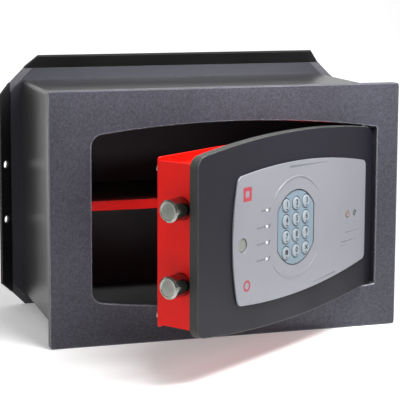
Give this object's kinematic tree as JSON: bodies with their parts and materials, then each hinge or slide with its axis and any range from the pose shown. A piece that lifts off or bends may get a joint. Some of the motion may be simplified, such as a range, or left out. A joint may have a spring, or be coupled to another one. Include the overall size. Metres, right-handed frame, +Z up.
{
  "type": "electronic wall safe",
  "caption": "Wall safe with an arched steel door ajar on its hinge pins, a red lock case with round motor-driven bolts, a keypad panel, a shelf inside and folded wall anchors at the back.",
  "frame": {"origin": "middle of the back plate's rear face in width, at half the height of the front plate", "axes": "+Z up, -Y towards the person in front of the safe (the front plate faces -Y), +X to their right; +Y is the outward normal of the rear face that goes against the wall's recess"},
  "size_m": [0.4268, 0.3858, 0.2929],
  "materials": {
    "frame_paint": "fine textured metallic graphite powder coat",
    "door_paint": "smooth satin charcoal coat",
    "black_steel": "matt black coat",
    "red_paint": "satin signal red coat",
    "carpet": "needle felt",
    "chrome": "bright turned chrome",
    "zinc": "zinc plated",
    "brass": "turned brass",
    "panel_silver": "satin silver lacquer",
    "keypad_blue": "fine matt blue-grey",
    "key_grey": "soft satin light grey",
    "rubber": "matt",
    "lens": "clear-topped white lens",
    "board_green": "solder resist",
    "black_plastic": "matt moulded",
    "cell_jacket": "plain wrapped cell"
  },
  "bodies": {
    "frame": {"front_plate": "frame_paint", "body_shell": "frame_paint", "back_plate": "black_steel", "shelf": "red_paint", "shelf_bracket_left": "black_steel", "shelf_bracket_right": "black_steel", "floor_mat": "carpet", "hinge_bush_upper": "brass", "hinge_bush_lower": "brass"},
    "hinge_pins": {"hinge_pin_upper": "zinc", "hinge_pin_lower": "zinc"},
    "door": {"door_plate": "door_paint", "lock_case": "red_paint", "bolt_side_wall": "red_paint", "lock_case_cover": "red_paint", "battery_cover": "black_plastic", "cover_screw_1": "chrome", "cover_screw_2": "chrome", "cover_screw_3": "chrome", "cover_screw_4": "chrome", "bolt_guide_upper": "zinc", "bolt_guide_lower": "zinc", "gearmotor": "zinc", "anti_drill_plate": "black_steel", "hinge_side_dog": "zinc", "circuit_board": "board_green", "battery_holder": "black_plastic", "battery_1": "cell_jacket", "battery_2": "cell_jacket", "battery_3": "cell_jacket", "battery_4": "cell_jacket", "keypad_cable": "rubber", "keypad_panel": "panel_silver", "keypad_base": "keypad_blue", "key_mat": "rubber", "override_lock": "brass", "override_cap": "panel_silver", "signal_lens_1": "lens", "signal_lens_2": "lens", "signal_lens_3": "lens", "signal_lens_4": "lens", "power_contact_left": "brass", "power_contact_right": "zinc"},
    "bolt_work": {"bolt_carriage": "zinc", "upper_bolt": "chrome", "lower_bolt": "chrome"},
    "motor_pinion": {"motor_pinion": "brass"},
    "key_1": {"key_1": "key_grey"},
    "key_2": {"key_2": "key_grey"},
    "key_3": {"key_3": "key_grey"},
    "key_4": {"key_4": "key_grey"},
    "key_5": {"key_5": "key_grey"},
    "key_6": {"key_6": "key_grey"},
    "key_7": {"key_7": "key_grey"},
    "key_8": {"key_8": "key_grey"},
    "key_9": {"key_9": "key_grey"},
    "key_enter": {"key_enter": "key_grey"},
    "key_0": {"key_0": "key_grey"},
    "key_clear": {"key_clear": "key_grey"}
  },
  "joints": [
    {"name": "door_opening", "type": "hinge", "parent": "frame", "child": "hinge_pins", "pos_m": [0.1552, -0.205, 0], "axis": [0, 0, 1], "range_deg": [0, 60]},
    {"name": "door_closing", "type": "hinge", "parent": "hinge_pins", "child": "door", "pos_m": [0.1552, -0.205, 0], "axis": [0, 0, 1], "range_deg": [-35.5, 0]},
    {"name": "bolt_throw", "type": "slide", "parent": "door", "child": "bolt_work", "axis": [0.8141, 0.5807, 0], "range_m": [0, 0.0215]},
    {"name": "pinion_turn", "type": "hinge", "parent": "door", "child": "motor_pinion", "pos_m": [-0.01924, -0.31346, 0.008], "axis": [-0.5807, 0.8141, 0], "range_deg": [-205.31, 0]},
    {"name": "key_1_press", "type": "slide", "parent": "door", "child": "key_1", "axis": [-0.5807, 0.8141, 0], "range_m": [0, 0.001], "stiffness_N_per_m": 900, "springref_m": -0.0005},
    {"name": "key_2_press", "type": "slide", "parent": "door", "child": "key_2", "axis": [-0.5807, 0.8141, 0], "range_m": [0, 0.001], "stiffness_N_per_m": 900, "springref_m": -0.0005},
    {"name": "key_3_press", "type": "slide", "parent": "door", "child": "key_3", "axis": [-0.5807, 0.8141, 0], "range_m": [0, 0.001], "stiffness_N_per_m": 900, "springref_m": -0.0005},
    {"name": "key_4_press", "type": "slide", "parent": "door", "child": "key_4", "axis": [-0.5807, 0.8141, 0], "range_m": [0, 0.001], "stiffness_N_per_m": 900, "springref_m": -0.0005},
    {"name": "key_5_press", "type": "slide", "parent": "door", "child": "key_5", "axis": [-0.5807, 0.8141, 0], "range_m": [0, 0.001], "stiffness_N_per_m": 900, "springref_m": -0.0005},
    {"name": "key_6_press", "type": "slide", "parent": "door", "child": "key_6", "axis": [-0.5807, 0.8141, 0], "range_m": [0, 0.001], "stiffness_N_per_m": 900, "springref_m": -0.0005},
    {"name": "key_7_press", "type": "slide", "parent": "door", "child": "key_7", "axis": [-0.5807, 0.8141, 0], "range_m": [0, 0.001], "stiffness_N_per_m": 900, "springref_m": -0.0005},
    {"name": "key_8_press", "type": "slide", "parent": "door", "child": "key_8", "axis": [-0.5807, 0.8141, 0], "range_m": [0, 0.001], "stiffness_N_per_m": 900, "springref_m": -0.0005},
    {"name": "key_9_press", "type": "slide", "parent": "door", "child": "key_9", "axis": [-0.5807, 0.8141, 0], "range_m": [0, 0.001], "stiffness_N_per_m": 900, "springref_m": -0.0005},
    {"name": "key_enter_press", "type": "slide", "parent": "door", "child": "key_enter", "axis": [-0.5807, 0.8141, 0], "range_m": [0, 0.001], "stiffness_N_per_m": 900, "springref_m": -0.0005},
    {"name": "key_0_press", "type": "slide", "parent": "door", "child": "key_0", "axis": [-0.5807, 0.8141, 0], "range_m": [0, 0.001], "stiffness_N_per_m": 900, "springref_m": -0.0005},
    {"name": "key_clear_press", "type": "slide", "parent": "door", "child": "key_clear", "axis": [-0.5807, 0.8141, 0], "range_m": [0, 0.001], "stiffness_N_per_m": 900, "springref_m": -0.0005}
  ],
  "couplings": [
    {"joint": "bolt_throw", "follows": "door_closing", "m_per_rad": -0.0347},
    {"joint": "pinion_turn", "follows": "door_closing", "ratio": 5.7834}
  ]
}
